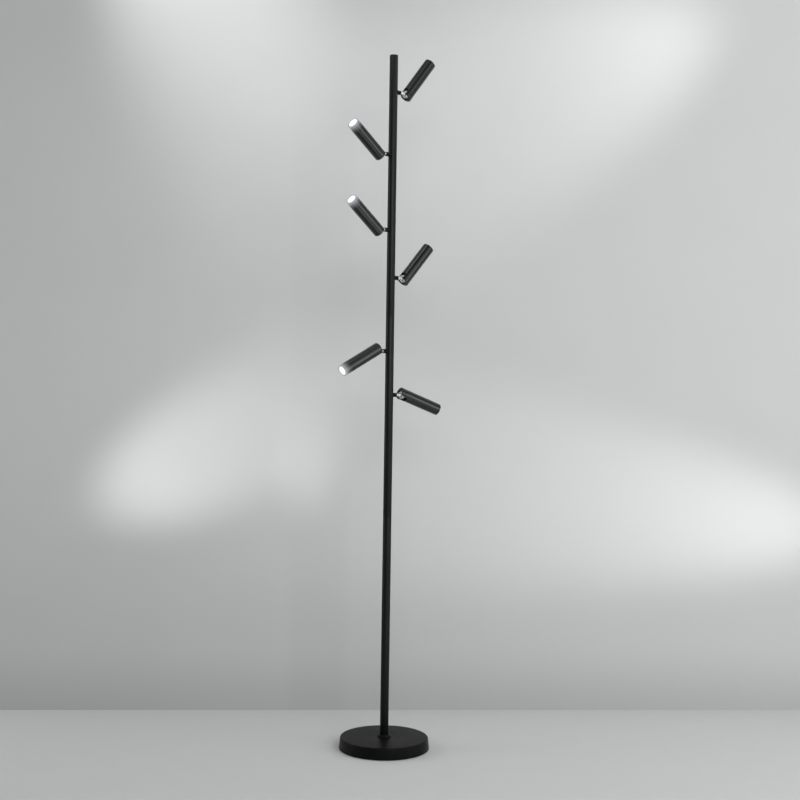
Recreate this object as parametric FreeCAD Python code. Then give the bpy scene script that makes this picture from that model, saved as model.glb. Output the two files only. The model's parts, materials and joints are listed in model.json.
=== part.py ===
import FreeCAD, Part
import math
import os

from FreeCAD import Placement, Rotation, Vector

# Tree floor lamp: a straight pole on a round weighted base, with six small tube
# lamp heads on short stems. Each head turns about its stem and folds on a cross
# pin. Millimetres, +Z up, origin on the floor under the pole; the stems point
# along +X and -X.

# ---- pole --------------------------------------------------------------------
LAMP_HEIGHT = 1800.0
POLE_R = 11.0
POLE_WALL = 1.5
SEAM_DROPS = (1200.0, 677.0)              # from the lamp's top to each screwed seam
COUPLER_LENGTH = 60.0
COUPLER_WALL = 2.5
CAP_THICKNESS = 8.0
SLIDE_GAP = 0.05                          # between a plug and the tube that holds it

# ---- base --------------------------------------------------------------------
BASE_FOOT_R = 117.0                       # cover at its lower lip
COVER_DRAFT = 3.0                         # how much narrower the cover is at its top
BASE_TOP_Z = 30.5
COVER_WALL = 1.5
COVER_LIP_Z = 1.5
COVER_EDGE = 3.0                          # size of the eased top edge
PAD_INSET = 9.0                           # from the cover's lip to the pad's edge
PAD_THICKNESS = 2.0
PLATE_THICKNESS = 2.0
PLATE_GAP = 0.8
WEIGHT_GAP = 0.5

COLLAR_R = 18.0
COLLAR_TOP_R = 13.0
COLLAR_HEIGHT = 6.0
COLLAR_RIM = 1.6

SHANK_R = 7.0
SHANK_DROP = 17.5                         # from the base top to the shank's lower end
FOOT_PLUG_LENGTH = 40.0
FOOT_BORE_R = 4.5
HOLE_GAP = 0.25
THREAD_GAP = 0.02
NUT_ACROSS_FLATS = 27.0
NUT_THICKNESS = 8.0
RECESS_R = 20.0
RECESS_WEB = 6.5                          # iron left above the nut recess

DRIVER_SIZE = (60.0, 42.0, 17.0)
DRIVER_Y = -69.0
DRIVER_CORNER = 3.0
POCKET_GAP = 2.0
CHANNEL_WIDTH = 12.0
CHANNEL_HEIGHT = 17.0

GLAND_Z = 14.0
GLAND_BORE_R = 3.5
GLAND_NECK_R = 5.4
GLAND_FLANGE_R = 7.5
GLAND_PROUD = 1.8
GLAND_TAIL = 2.0                          # neck length inside the cover's wall

# ---- wiring loom -------------------------------------------------------------
LOOM_R = 2.5
LOOM_Z = 8.0                              # height of its run across the base
LOOM_TOP_GAP = 60.0

# ---- stem and swivel arm -----------------------------------------------------
STEM_R = 5.5
STEM_REACH = 23.0                         # stem's outer face, from the pole's axis
STEM_INNER_REACH = 5.1                    # stem's inner end, from the pole's axis
BRAZE_GAP = 0.02
ARM_SHANK_R = 2.5
RUNNING_GAP = 0.05
FACE_GAP = 0.1
ARM_LIP_R = 3.6                           # the swaged lip that keeps the arm in its stem
ARM_LIP = 1.6
ARM_NECK_R = 4.0
KNUCKLE_R = 10.0
KNUCKLE_HALF_WIDTH = 9.0
WIRE_GROOVE_WIDTH = 1.6
WIRE_GROOVE_DEPTH = 1.4
WIRE_GROOVE_REACH = 33.0

# ---- lamp head ---------------------------------------------------------------
PIVOT_REACH = 44.0                        # cross pin, from the pole's axis
HEAD_R = 15.5
HEAD_LENGTH = 126.0
PIVOT_TO_REAR = 8.0
PIVOT_TO_AXIS = 3.0                       # the pin sits this far off the tube's axis
REAR_SOLID = 24.0
HEAD_WALL = 1.2
SLOT_GAP = 0.3                            # each side of the knuckle
SLOT_ROUND_GAP = 0.5                      # round the knuckle, past its radius
PIN_R = 2.0
PIN_GRIP = 2.0                            # how far the pressed-in pin enters each cheek
WIRE_WAY = 5.0                            # square passage from the slot to the bore

LENS_SETBACK = 0.2
LENS_DEPTH = 16.0
BORE_GAP = 0.05                           # round the lens and the heat sink's fins
CHIP_SIZE = 12.0
CHIP_HEIGHT = 1.0
CHIP_POCKET_GAP = 0.4
BOARD_R = 13.0
BOARD_THICKNESS = 1.6
SINK_LENGTH = 36.0
SINK_FINS = 8
SINK_CORE_R = 7.0
SINK_FIN_THICKNESS = 2.0

# Each head: side of the pole, drop from the lamp's top to its stem, fold from
# straight out, and turn about the +X axis from upright.
RIGHT, LEFT = 1, -1
HEADS = {
    1: (RIGHT, 94.0, 53.0, 5.0),
    2: (LEFT, 259.0, 33.0, 16.0),
    3: (LEFT, 455.0, 35.0, 11.0),
    4: (RIGHT, 577.0, 49.0, 3.0),
    5: (LEFT, 769.0, 29.0, 187.0),
    6: (RIGHT, 882.0, 21.0, 159.0),
}

X_AXIS = Vector(1, 0, 0)
Y_AXIS = Vector(0, 1, 0)
Z_AXIS = Vector(0, 0, 1)
PAST = 5.0                                # how far a cutting tool runs past a face

# ---- sizes that follow from the ones above -----------------------------------
POLE_BORE_R = POLE_R - POLE_WALL
PLUG_R = POLE_BORE_R - SLIDE_GAP
POLE_LOW_Z = BASE_TOP_Z + COLLAR_HEIGHT
POLE_SEAMS = tuple(LAMP_HEIGHT - drop for drop in SEAM_DROPS)
BASE_TOP_R = BASE_FOOT_R - COVER_DRAFT
PAD_R = BASE_FOOT_R - PAD_INSET
PLATE_Z = PAD_THICKNESS
WEIGHT_Z = PLATE_Z + PLATE_THICKNESS
COVER_UNDER_Z = BASE_TOP_Z - COVER_WALL
WEIGHT_R = BASE_TOP_R - COVER_WALL - WEIGHT_GAP
RECESS_TOP_Z = COVER_UNDER_Z - RECESS_WEB
STEM_BORE_R = ARM_SHANK_R + RUNNING_GAP
HEAD_BORE_R = HEAD_R - HEAD_WALL
SLOT_R = KNUCKLE_R + SLOT_ROUND_GAP
SLOT_HALF_WIDTH = KNUCKLE_HALF_WIDTH + SLOT_GAP
LENS_REAR_X = HEAD_LENGTH - LENS_DEPTH
BOARD_REAR_X = LENS_REAR_X - BOARD_THICKNESS
SINK_REAR_X = BOARD_REAR_X - SINK_LENGTH


# ---- helpers -----------------------------------------------------------------
def cylinder(radius, low, high, axis=Z_AXIS, through=Vector(0, 0, 0)):
    """A round bar about an axis, from low to high along it."""
    return Part.makeCylinder(radius, high - low, through + axis * low, axis)


def box(x_range, y_range, z_range):
    """A box from its three ranges."""
    sides = [pair[1] - pair[0] for pair in (x_range, y_range, z_range)]
    return Part.makeBox(*sides, Vector(x_range[0], y_range[0], z_range[0]))


def turned(profile, axis=Z_AXIS):
    """A turned solid from (radius, height) points, about Z or about X."""
    if axis == X_AXIS:
        points = [Vector(height, 0, radius) for radius, height in profile]
    else:
        points = [Vector(radius, 0, height) for radius, height in profile]
    face = Part.Face(Part.makePolygon(points + points[:1]))
    return face.revolve(Vector(0, 0, 0), axis, 360)


def prism(points, direction):
    """A straight-sided solid: a closed outline of points, swept along a direction."""
    return Part.Face(Part.makePolygon(points + points[:1])).extrude(direction)


def regular_outline(corners, corner_r, axis, start):
    """The corners of a regular outline about an axis; the first lies along start."""
    first = start * corner_r
    return [Rotation(axis, 360 / corners * k).multVec(first) for k in range(corners)]


def placed(shape, placement):
    """A copy of the shape, moved by a placement."""
    copy = shape.copy()
    copy.Placement = placement.multiply(copy.Placement)
    return copy


def cover_radius(z):
    """The cover's outer radius at a height, along its drafted side."""
    share = (z - COVER_LIP_Z) / (BASE_TOP_Z - COVER_LIP_Z)
    return BASE_FOOT_R + (BASE_TOP_R - BASE_FOOT_R) * share


# ---- base --------------------------------------------------------------------
def base_cover():
    """The spun steel shell, open below, with the gland's hole in its side."""
    inner_top_r = cover_radius(COVER_UNDER_Z) - COVER_WALL
    hole_r = SHANK_R + HOLE_GAP
    edge_z = BASE_TOP_Z - COVER_EDGE
    eased = COVER_EDGE * (1 - math.sqrt(0.5))
    shell = turned([
        (hole_r, BASE_TOP_Z),
        (BASE_TOP_R - COVER_EDGE, BASE_TOP_Z),
        (BASE_TOP_R - eased, BASE_TOP_Z - eased),
        (cover_radius(edge_z), edge_z),
        (BASE_FOOT_R, COVER_LIP_Z),
        (BASE_FOOT_R - COVER_WALL, COVER_LIP_Z),
        (inner_top_r, COVER_UNDER_Z),
        (hole_r, COVER_UNDER_Z),
    ])
    hole = cylinder(GLAND_NECK_R + SLIDE_GAP, WEIGHT_R, BASE_FOOT_R + PAST, Y_AXIS,
                    Z_AXIS * GLAND_Z)
    return shell.cut(hole)


def base_weight():
    """The cast iron disc with its nut recess, driver pocket and lead channel."""
    below = WEIGHT_Z - PAST
    iron = cylinder(WEIGHT_R, WEIGHT_Z, COVER_UNDER_Z)
    shank_hole = cylinder(SHANK_R + HOLE_GAP, below, COVER_UNDER_Z + PAST)
    recess = cylinder(RECESS_R, below, RECESS_TOP_Z)
    length, width, height = (side + 2 * POCKET_GAP for side in DRIVER_SIZE)
    pocket = box((-length / 2, length / 2), (DRIVER_Y - width / 2, DRIVER_Y + width / 2),
                 (below, WEIGHT_Z + height - POCKET_GAP))
    channel = box((-CHANNEL_WIDTH / 2, CHANNEL_WIDTH / 2), (DRIVER_Y, BASE_FOOT_R),
                  (below, WEIGHT_Z + CHANNEL_HEIGHT))
    return iron.cut([shank_hole, recess, pocket, channel])


def base_plate():
    """The steel plate that closes the base."""
    plate_r = cover_radius(WEIGHT_Z) - COVER_WALL - PLATE_GAP
    return cylinder(plate_r, PLATE_Z, WEIGHT_Z)


def base_pad():
    """The soft disc that the lamp stands on."""
    return cylinder(PAD_R, 0, PAD_THICKNESS)


def led_driver():
    """The driver's sealed case, standing on the plate in its pocket."""
    length, width, height = DRIVER_SIZE
    case = box((-length / 2, length / 2), (DRIVER_Y - width / 2, DRIVER_Y + width / 2),
               (WEIGHT_Z, WEIGHT_Z + height))
    upright = [edge for edge in case.Edges
               if abs(edge.tangentAt(edge.FirstParameter).z) > 0.9]
    return case.makeChamfer(DRIVER_CORNER, upright)


def cord_grommet():
    """The rubber gland in the cover's side, bored for the lead."""
    wall_y = cover_radius(GLAND_Z)
    inside_y = wall_y - COVER_WALL - GLAND_TAIL
    end_y = wall_y + GLAND_PROUD
    centre = Z_AXIS * GLAND_Z
    flange = cylinder(GLAND_FLANGE_R, wall_y - COVER_WALL, end_y, Y_AXIS, centre)
    cover_body = Part.makeCone(BASE_FOOT_R + BRAZE_GAP, BASE_TOP_R + BRAZE_GAP,
                               BASE_TOP_Z - COVER_LIP_Z, Vector(0, 0, COVER_LIP_Z))
    flange = flange.cut(cover_body)
    neck = cylinder(GLAND_NECK_R, inside_y, end_y, Y_AXIS, centre)
    bore = cylinder(GLAND_BORE_R, inside_y - PAST, end_y + PAST, Y_AXIS, centre)
    return flange.fuse(neck).cut(bore).removeSplitter()


def pole_foot():
    """The turned fitting under the pole: hollow shank, visible collar and plug."""
    return turned([
        (FOOT_BORE_R, BASE_TOP_Z - SHANK_DROP),
        (SHANK_R, BASE_TOP_Z - SHANK_DROP),
        (SHANK_R, BASE_TOP_Z),
        (COLLAR_R, BASE_TOP_Z),
        (COLLAR_R, BASE_TOP_Z + COLLAR_RIM),
        (COLLAR_TOP_R, POLE_LOW_Z),
        (PLUG_R, POLE_LOW_Z),
        (PLUG_R, POLE_LOW_Z + FOOT_PLUG_LENGTH),
        (FOOT_BORE_R, POLE_LOW_Z + FOOT_PLUG_LENGTH),
    ])


def foot_nut():
    """The nut that clamps the pole to the base from below."""
    low = RECESS_TOP_Z - NUT_THICKNESS
    corners = regular_outline(6, NUT_ACROSS_FLATS / math.sqrt(3), Z_AXIS, X_AXIS)
    nut = prism([corner + Z_AXIS * low for corner in corners], Z_AXIS * NUT_THICKNESS)
    return nut.cut(cylinder(SHANK_R + THREAD_GAP, low - PAST, RECESS_TOP_Z + PAST))


# ---- pole --------------------------------------------------------------------
def pole_section(low, high):
    """One tube of the pole, with a hole for each of its stems."""
    tube = cylinder(POLE_R, low, high).cut(cylinder(POLE_BORE_R, low - PAST, high + PAST))
    for side, drop, _, _ in HEADS.values():
        height = LAMP_HEIGHT - drop
        if low < height < high:
            tube = tube.cut(cylinder(STEM_R + BRAZE_GAP, 0, POLE_R + PAST,
                                     X_AXIS * side, Z_AXIS * height))
    return tube


def pole_couplers():
    """The threaded sleeves inside the pole's seams."""
    sleeves = []
    for seam in POLE_SEAMS:
        low, high = seam - COUPLER_LENGTH / 2, seam + COUPLER_LENGTH / 2
        bore = cylinder(PLUG_R - COUPLER_WALL, low - PAST, high + PAST)
        sleeves.append(cylinder(PLUG_R, low, high).cut(bore))
    return Part.makeCompound(sleeves)


def pole_cap():
    """The plug that closes the pole's top, flush with its end."""
    return cylinder(PLUG_R, LAMP_HEIGHT - CAP_THICKNESS, LAMP_HEIGHT)


def wiring_loom():
    """The sheathed wires from the driver, through the foot and up the pole."""
    top = Vector(0, 0, LAMP_HEIGHT - LOOM_TOP_GAP)
    corner = Vector(0, 0, LOOM_Z)
    driver_face = Vector(0, DRIVER_Y + DRIVER_SIZE[1] / 2, LOOM_Z)
    path = Part.makePolygon([top, corner, driver_face])
    section = Part.Wire(Part.makeCircle(LOOM_R, top, Z_AXIS))
    return path.makePipeShell([section], True, False, 1)


# ---- stems, arms and heads ---------------------------------------------------
def stem():
    """A stub brazed into the pole's wall and bored for its arm."""
    stub = cylinder(STEM_R, STEM_INNER_REACH, STEM_REACH, X_AXIS)
    return stub.cut(cylinder(STEM_BORE_R, 0, STEM_REACH + PAST, X_AXIS))


def swivel_arm():
    """The bright arm: swaged lip, shank, neck and pinned knuckle, grooved for wires."""
    lip_end = STEM_INNER_REACH - FACE_GAP
    neck_x = STEM_REACH + FACE_GAP
    pivot = Vector(PIVOT_REACH, 0, 0)
    arm = turned([
        (0, lip_end - ARM_LIP),
        (ARM_LIP_R, lip_end - ARM_LIP),
        (ARM_LIP_R, lip_end),
        (ARM_SHANK_R, lip_end),
        (ARM_SHANK_R, neck_x),
        (ARM_NECK_R, neck_x),
        (ARM_NECK_R, PIVOT_REACH),
        (0, PIVOT_REACH),
    ], X_AXIS)
    drum = cylinder(KNUCKLE_R, -KNUCKLE_HALF_WIDTH, KNUCKLE_HALF_WIDTH, Y_AXIS, pivot)
    pin_bore = cylinder(PIN_R + RUNNING_GAP, -KNUCKLE_R - PAST, KNUCKLE_R + PAST,
                        Y_AXIS, pivot)
    half = WIRE_GROOVE_WIDTH / 2
    shank_groove = box((0, WIRE_GROOVE_REACH), (-half, half),
                       (-ARM_NECK_R - PAST, WIRE_GROOVE_DEPTH - ARM_SHANK_R))
    return arm.fuse(drum).cut([pin_bore, shank_groove]).removeSplitter()


def fold_slot():
    """The cutter for the rear slot, in which the knuckle sits and the neck swings."""
    rear = -PIVOT_TO_REAR - PAST
    top = HEAD_R + PAST
    corner = SLOT_R * math.sqrt(0.5)
    bottom, end = Vector(0, 0, -SLOT_R), Vector(SLOT_R, 0, 0)
    outline = Part.Wire([
        Part.LineSegment(Vector(rear, 0, -SLOT_R), bottom).toShape(),
        Part.Arc(bottom, Vector(corner, 0, -corner), end).toShape(),
        Part.LineSegment(end, Vector(SLOT_R, 0, top)).toShape(),
        Part.LineSegment(Vector(SLOT_R, 0, top), Vector(rear, 0, top)).toShape(),
        Part.LineSegment(Vector(rear, 0, top), Vector(rear, 0, -SLOT_R)).toShape(),
    ])
    slab = Part.Face(outline).extrude(Y_AXIS * (2 * SLOT_HALF_WIDTH))
    slab.translate(Y_AXIS * -SLOT_HALF_WIDTH)
    return slab


def tube_frame(shape):
    """Move a piece built along X from the tube's rear to the pivot's frame."""
    shift = Vector(-PIVOT_TO_REAR, 0, -PIVOT_TO_AXIS)
    return placed(shape, Placement(shift, Rotation()))


def head_tube():
    """The tube: solid rear with its slot and cross pin, and bored front."""
    tube = cylinder(HEAD_R, 0, HEAD_LENGTH, X_AXIS)
    bore = cylinder(HEAD_BORE_R, REAR_SOLID, HEAD_LENGTH + PAST, X_AXIS)
    half = WIRE_WAY / 2
    wire_way = box((PIVOT_TO_REAR, REAR_SOLID + PAST), (-half, half), (-half, half))
    slotted = tube_frame(tube.cut([bore, wire_way])).cut(fold_slot())
    half = SLOT_HALF_WIDTH + PIN_GRIP
    pin = cylinder(PIN_R, -half, half, Y_AXIS)
    return slotted.fuse(pin).removeSplitter()


def heat_sink():
    """The finned aluminium extrusion behind the light source."""
    fin_r = HEAD_BORE_R - BORE_GAP
    core = regular_outline(2 * SINK_FINS, SINK_CORE_R, X_AXIS, Z_AXIS)
    slug = prism([corner + X_AXIS * SINK_REAR_X for corner in core], X_AXIS * SINK_LENGTH)
    half = SINK_FIN_THICKNESS / 2
    reach = math.sqrt(fin_r ** 2 - half ** 2)
    fin = box((SINK_REAR_X, BOARD_REAR_X), (-half, half), (0, reach))
    turn = 360 / SINK_FINS
    fins = [placed(fin, Placement(Vector(), Rotation(X_AXIS, turn * k)))
            for k in range(SINK_FINS)]
    return tube_frame(slug.fuse(fins).removeSplitter())


def led_board():
    """The eight-sided board with the light-emitting chip on it."""
    corners = regular_outline(8, BOARD_R, X_AXIS, Z_AXIS)
    board = prism([corner + X_AXIS * BOARD_REAR_X for corner in corners],
                  X_AXIS * BOARD_THICKNESS)
    half = CHIP_SIZE / 2
    chip = box((BOARD_REAR_X, LENS_REAR_X + CHIP_HEIGHT), (-half, half), (-half, half))
    return tube_frame(board.fuse(chip).removeSplitter())


def head_lens():
    """The frosted light guide that fills the tube's mouth, pocketed over the chip."""
    guide = cylinder(HEAD_BORE_R - BORE_GAP, LENS_REAR_X, HEAD_LENGTH - LENS_SETBACK, X_AXIS)
    half = CHIP_SIZE / 2 + CHIP_POCKET_GAP
    pocket = box((LENS_REAR_X - PAST, LENS_REAR_X + CHIP_HEIGHT + CHIP_POCKET_GAP),
                 (-half, half), (-half, half))
    return tube_frame(guide.cut(pocket))


def stem_placement(side, drop):
    """The frame of a stem: its X points out from the pole."""
    facing = Rotation(Z_AXIS, 0 if side == RIGHT else 180)
    return Placement(Z_AXIS * (LAMP_HEIGHT - drop), facing)


def arm_placement(side, drop, turn):
    """The frame of an arm, turned about its stem."""
    upright = stem_placement(side, drop)
    return upright.multiply(Placement(Vector(), Rotation(X_AXIS, turn * side)))


def head_placement(side, drop, fold, turn):
    """The frame of a head, with its pin at the origin, folded up from the arm."""
    hinge = Placement(X_AXIS * PIVOT_REACH, Rotation(Y_AXIS, -fold))
    return arm_placement(side, drop, turn).multiply(hinge)


# ---- assembly ----------------------------------------------------------------
def base_and_pole():
    """Every piece that stands still, by node name."""
    ends = (POLE_LOW_Z,) + POLE_SEAMS + (LAMP_HEIGHT,)
    names = ("pole_lower", "pole_middle", "pole_upper")
    pieces = {
        "base_cover": base_cover(),
        "base_weight": base_weight(),
        "base_plate": base_plate(),
        "base_pad": base_pad(),
        "led_driver": led_driver(),
        "cord_grommet": cord_grommet(),
        "pole_foot": pole_foot(),
        "foot_nut": foot_nut(),
        "pole_couplers": pole_couplers(),
        "pole_cap": pole_cap(),
        "wiring_loom": wiring_loom(),
    }
    for name, low, high in zip(names, ends[:-1], ends[1:]):
        pieces[name] = pole_section(low, high)
    plain_stem = stem()
    pieces["stems"] = Part.makeCompound([placed(plain_stem, stem_placement(side, drop))
                                         for side, drop, _, _ in HEADS.values()])
    return pieces


def lamp_heads():
    """Every piece of the six arms and heads, by node name."""
    plain_arm = swivel_arm()
    on_head = {
        "head_tube": head_tube(),
        "heat_sink": heat_sink(),
        "led_board": led_board(),
        "head_lens": head_lens(),
    }
    pieces = {}
    for number, (side, drop, fold, turn) in HEADS.items():
        pieces[f"swivel_arm_{number}"] = placed(plain_arm, arm_placement(side, drop, turn))
        for name, shape in on_head.items():
            pieces[f"{name}_{number}"] = placed(shape,
                                                head_placement(side, drop, fold, turn))
    return pieces


def main():
    """Build every piece and write one file for each."""
    os.makedirs("parts", exist_ok=True)
    for name, shape in {**base_and_pole(), **lamp_heads()}.items():
        if not shape.isValid():
            print("not valid:", name)
        shape.exportStep(f"parts/{name}.step")


main()
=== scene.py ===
"""Studio scene of a tree floor lamp.

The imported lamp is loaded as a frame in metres. Each sub-assembly is a class that holds
its sizes in millimetres, builds its meshes on that frame and gives them their finishes.
"""

from __future__ import annotations

import json
import logging
import math
from dataclasses import dataclass, field, replace
from enum import Enum
from typing import Callable, Iterable, Sequence

import bmesh
import bpy
from mathutils import Matrix, Vector

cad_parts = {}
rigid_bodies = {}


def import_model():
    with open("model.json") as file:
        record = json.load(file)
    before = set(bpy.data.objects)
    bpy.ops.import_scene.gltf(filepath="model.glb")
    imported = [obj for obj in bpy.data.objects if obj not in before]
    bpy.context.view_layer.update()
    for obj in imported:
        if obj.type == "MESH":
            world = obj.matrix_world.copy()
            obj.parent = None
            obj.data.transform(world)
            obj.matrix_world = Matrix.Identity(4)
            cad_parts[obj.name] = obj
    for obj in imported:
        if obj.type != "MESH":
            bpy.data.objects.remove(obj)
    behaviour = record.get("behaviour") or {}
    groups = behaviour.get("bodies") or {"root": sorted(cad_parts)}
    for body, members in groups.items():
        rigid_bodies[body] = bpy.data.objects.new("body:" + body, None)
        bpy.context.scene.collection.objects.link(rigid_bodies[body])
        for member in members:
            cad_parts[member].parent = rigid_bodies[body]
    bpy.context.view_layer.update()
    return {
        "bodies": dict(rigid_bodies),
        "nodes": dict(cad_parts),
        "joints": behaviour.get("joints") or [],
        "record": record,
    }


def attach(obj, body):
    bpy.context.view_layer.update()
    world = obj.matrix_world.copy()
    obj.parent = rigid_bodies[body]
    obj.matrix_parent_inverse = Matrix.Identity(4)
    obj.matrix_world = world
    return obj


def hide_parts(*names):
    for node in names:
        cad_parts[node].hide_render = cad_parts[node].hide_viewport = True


LOG = logging.getLogger("floor_lamp")

MM = 0.001


# ---- small shared types ----------------------------------------------------------
class Axis(Enum):
    """The axis that a turned piece is made about."""

    X = "x"
    Y = "y"
    Z = "z"


class Socket(Enum):
    """Kinds of socket on a shader node group."""

    NUMBER = "NodeSocketFloat"
    VECTOR = "NodeSocketVector"


class Finish(Enum):
    """Every finish on the lamp."""

    POWDER_COAT = "satin_black"
    POLE_COAT = "satin_black_pole"
    ANODISED = "satin_black_tube"
    NICKEL = "bright_nickel"
    ZINC = "zinc_steel"
    IRON = "cast_iron"
    PAD = "pad_rubber"
    GLAND = "grommet_rubber"
    SHEATH = "loom_sheath"
    CASE = "driver_case"
    SINK = "sink_aluminium"
    BOARD = "board_aluminium"
    LENS = "frosted_lens"


@dataclass(frozen=True)
class Corner:
    """One corner of a turned profile.

    Attributes:
        radius: distance from the axis, in millimetres.
        along: place along the axis, in millimetres.
        ease: radius of the rounding at this corner, in millimetres; 0 keeps it sharp.
    """

    radius: float
    along: float
    ease: float = 0.0


# ---- mesh making -----------------------------------------------------------------
class Profile:
    """A closed turned profile whose corners may be rounded."""

    def __init__(self, corners: Sequence[Corner], steps: int = 5) -> None:
        """Keeps the corners in order round the profile.

        Args:
            corners: the profile's corners; those at radius 0 lie on the axis.
            steps: how many points make up each rounding.
        """
        self.corners = list(corners)
        self.steps = steps

    def points(self) -> list[tuple[float, float]]:
        """Returns the (radius, along) points of the profile with its roundings."""
        made: list[tuple[float, float]] = []
        count = len(self.corners)
        for index, corner in enumerate(self.corners):
            here = Vector((corner.radius, corner.along))
            if corner.ease <= 0:
                made.append((here.x, here.y))
                continue
            back = Vector((self.corners[index - 1].radius, self.corners[index - 1].along))
            ahead_corner = self.corners[(index + 1) % count]
            ahead = Vector((ahead_corner.radius, ahead_corner.along))
            made.extend(self._rounding(back, here, ahead, corner.ease))
        return made

    def _rounding(self, back: Vector, here: Vector, ahead: Vector,
                  ease: float) -> list[tuple[float, float]]:
        """Rounds one corner with an arc.

        Args:
            back: the corner before.
            here: the corner to round.
            ahead: the corner after.
            ease: the arc's radius.

        Returns:
            The arc's points, from the side of back to the side of ahead.
        """
        into, out = (back - here).normalized(), (ahead - here).normalized()
        half = into.angle(out) / 2
        run = ease / math.tan(half)
        centre = here + (into + out).normalized() * (ease / math.sin(half))
        start, end = here + into * run - centre, here + out * run - centre
        sweep = math.atan2(start.x * end.y - start.y * end.x, start.dot(end))
        arc = []
        for step in range(self.steps + 1):
            turn = sweep * step / self.steps
            cos, sin = math.cos(turn), math.sin(turn)
            arc.append((centre.x + start.x * cos - start.y * sin,
                        centre.y + start.x * sin + start.y * cos))
        return arc


class MeshShop:
    """Makes, cuts and joins meshes; millimetres in, metres out.

    SHARP is the angle past which an edge is shaded sharp, and EASED the one past which
    ease_edges breaks it. LIT_END names the number that mark_lit_end keeps.
    """

    SHARP = math.radians(32)
    EASED = math.radians(40)
    EASE_STEPS = 2
    ROD_SEGMENTS = 48
    ON_AXIS = 1e-6
    LIT_END = "lit_end"

    @staticmethod
    def _spun(radius: float, along: float, turn: float, axis: Axis) -> Vector:
        """Returns one point of a turned surface, in metres."""
        cos, sin = radius * math.cos(turn), radius * math.sin(turn)
        if axis is Axis.X:
            return Vector((along, cos, sin)) * MM
        if axis is Axis.Y:
            return Vector((sin, along, cos)) * MM
        return Vector((cos, sin, along)) * MM

    @classmethod
    def turned(cls, name: str, profile: Profile, segments: int, axis: Axis = Axis.Z,
               centre: Sequence[float] = (0.0, 0.0, 0.0)) -> bpy.types.Object:
        """Turns a closed profile about an axis.

        Args:
            name: the piece's name.
            profile: the closed profile.
            segments: how many steps go round.
            axis: the axis of turning.
            centre: where the axis' origin lies, in millimetres.

        Returns:
            The new object, linked to the scene.
        """
        rings: list[list[bmesh.types.BMVert]] = []
        mesh = bmesh.new()
        shift = Vector(centre) * MM
        for radius, along in profile.points():
            count = 1 if radius < cls.ON_AXIS else segments
            rings.append([mesh.verts.new(cls._spun(radius, along, math.tau * k / segments, axis)
                                         + shift) for k in range(count)])
        for index, ring in enumerate(rings):
            after = rings[(index + 1) % len(rings)]
            if len(ring) == 1 and len(after) == 1:
                continue
            for k in range(segments):
                ahead = (k + 1) % segments
                corners = [ring[k % len(ring)], ring[ahead % len(ring)],
                           after[ahead % len(after)], after[k % len(after)]]
                mesh.faces.new(list(dict.fromkeys(corners)))
        bmesh.ops.recalc_face_normals(mesh, faces=mesh.faces)
        return cls.linked(name, mesh)

    @classmethod
    def rod(cls, name: str, radius: float, ends: tuple[float, float], axis: Axis,
            centre: Sequence[float] = (0.0, 0.0, 0.0)) -> bpy.types.Object:
        """Turns a plain rod, which serves as the cutter of a round hole.

        Args:
            name: the rod's name.
            radius: its radius, in millimetres.
            ends: where it starts and ends along its axis, in millimetres.
            axis: the axis that it lies along.
            centre: where the axis' origin lies, in millimetres.

        Returns:
            The new object, linked to the scene.
        """
        low, high = ends
        profile = Profile([Corner(0, low), Corner(radius, low),
                           Corner(radius, high), Corner(0, high)])
        return cls.turned(name, profile, cls.ROD_SEGMENTS, axis, centre)

    @classmethod
    def swept(cls, name: str, outline: Sequence[Vector], sweep: Vector) -> bpy.types.Object:
        """Sweeps a closed outline along a direction.

        Args:
            name: the piece's name.
            outline: the outline's corners, in millimetres.
            sweep: the direction and length of the sweep, in millimetres.

        Returns:
            The new object, linked to the scene.
        """
        mesh = bmesh.new()
        near = [mesh.verts.new(point * MM) for point in outline]
        far = [mesh.verts.new((point + sweep) * MM) for point in outline]
        count = len(outline)
        mesh.faces.new(near)
        mesh.faces.new(far[::-1])
        for k in range(count):
            ahead = (k + 1) % count
            mesh.faces.new([near[k], near[ahead], far[ahead], far[k]])
        bmesh.ops.recalc_face_normals(mesh, faces=mesh.faces)
        return cls.linked(name, mesh)

    @classmethod
    def linked(cls, name: str, mesh: bmesh.types.BMesh,
               smooth: bool = True) -> bpy.types.Object:
        """Makes a scene object from a bmesh, which is freed.

        Args:
            name: the object's name.
            mesh: its vertices and faces.
            smooth: whether it is shaded smooth up to its sharp edges, or else flat.

        Returns:
            The object.
        """
        data = bpy.data.meshes.new(name)
        mesh.to_mesh(data)
        mesh.free()
        made = bpy.data.objects.new(name, data)
        bpy.context.scene.collection.objects.link(made)
        if smooth:
            cls.shade(made)
        return made

    @classmethod
    def shade(cls, piece: bpy.types.Object) -> None:
        """Shades a piece smooth up to its sharp edges."""
        piece.data.shade_smooth()
        piece.data.set_sharp_from_angle(angle=cls.SHARP)

    @classmethod
    def combine(cls, piece: bpy.types.Object, tools: Iterable[bpy.types.Object],
                operation: str) -> None:
        """Cuts tools out of a piece, or joins them on, and removes the tools.

        Args:
            piece: the object that is kept.
            tools: the cutting or joined objects.
            operation: DIFFERENCE or UNION.
        """
        for tool in tools:
            step = piece.modifiers.new("combine", "BOOLEAN")
            step.operation = operation
            step.solver = "EXACT"
            step.object = tool
            cls.settle(piece)
            bpy.data.objects.remove(tool)
        cls.shade(piece)

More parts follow.
